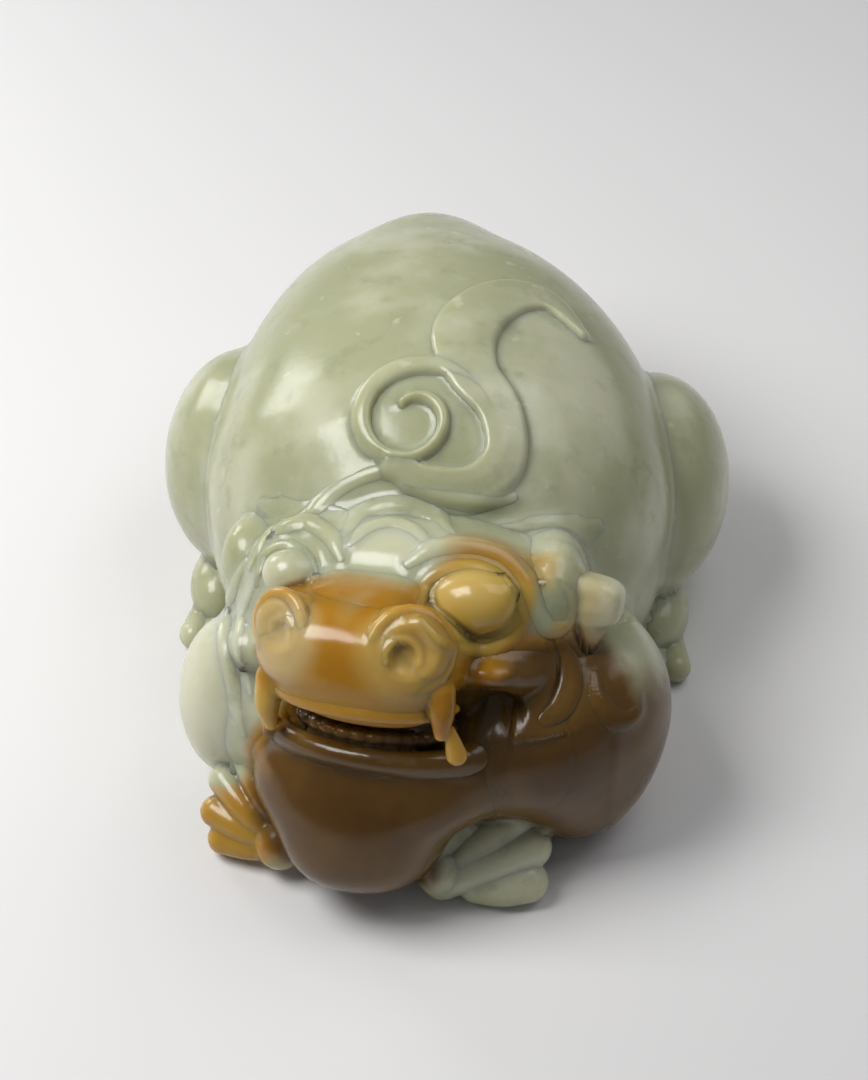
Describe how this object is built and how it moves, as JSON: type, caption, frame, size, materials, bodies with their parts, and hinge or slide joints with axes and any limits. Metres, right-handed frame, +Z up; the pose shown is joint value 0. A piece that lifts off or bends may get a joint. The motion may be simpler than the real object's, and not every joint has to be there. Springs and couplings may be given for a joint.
{
  "type": "jade figurine",
  "caption": "Hand-sized crouching guardian beast carved from one two-tone jade stone, with a curled tail on its back, for resting on a shelf or desk.",
  "frame": {"origin": "on the flat belly under the middle of the torso, at the height of the surface it rests on", "axes": "+Z up, the beast faces -Y, +X to the beast's own left"},
  "size_m": [0.0478, 0.062, 0.0317],
  "materials": {
    "jade_celadon": "polished celadon jade, cloudy and translucent",
    "jade_pale": "polished pale grey-green jade",
    "jade_honey": "polished honey-brown jade skin",
    "jade_russet": "polished dark russet jade skin",
    "jade_gold": "polished golden jade skin"
  },
  "bodies": {
    "root": {"torso": "jade_celadon", "chest": "jade_celadon", "haunch_left": "jade_celadon", "haunch_right": "jade_celadon", "hind_paw_left": "jade_celadon", "hind_paw_right": "jade_celadon", "mane_left": "jade_celadon", "mane_right": "jade_celadon", "crest": "jade_celadon", "strand_left_1": "jade_celadon", "strand_left_2": "jade_celadon", "strand_right_1": "jade_celadon", "strand_right_2": "jade_celadon", "rump_knob": "jade_celadon", "shoulder_right": "jade_pale", "fore_paw_left": "jade_pale", "ear_left": "jade_pale", "ear_right": "jade_pale", "tail": "jade_pale", "tail_curl": "jade_pale", "skull": "jade_honey", "muzzle": "jade_honey", "fore_paw_right": "jade_honey", "nostril_left": "jade_honey", "nostril_right": "jade_honey", "brow_left": "jade_honey", "brow_right": "jade_honey", "upper_lip": "jade_honey", "upper_teeth": "jade_honey", "lower_teeth": "jade_honey", "lower_jaw": "jade_russet", "shoulder_left": "jade_russet", "cheek_left": "jade_russet", "cheek_right": "jade_russet", "nose_bridge": "jade_russet", "lower_lip": "jade_russet", "tongue": "jade_russet", "eye_left": "jade_gold", "eye_right": "jade_gold", "upper_fang_left": "jade_gold", "upper_fang_right": "jade_gold", "lower_fang_left": "jade_gold", "lower_fang_right": "jade_gold"}
  },
  "joints": []
}
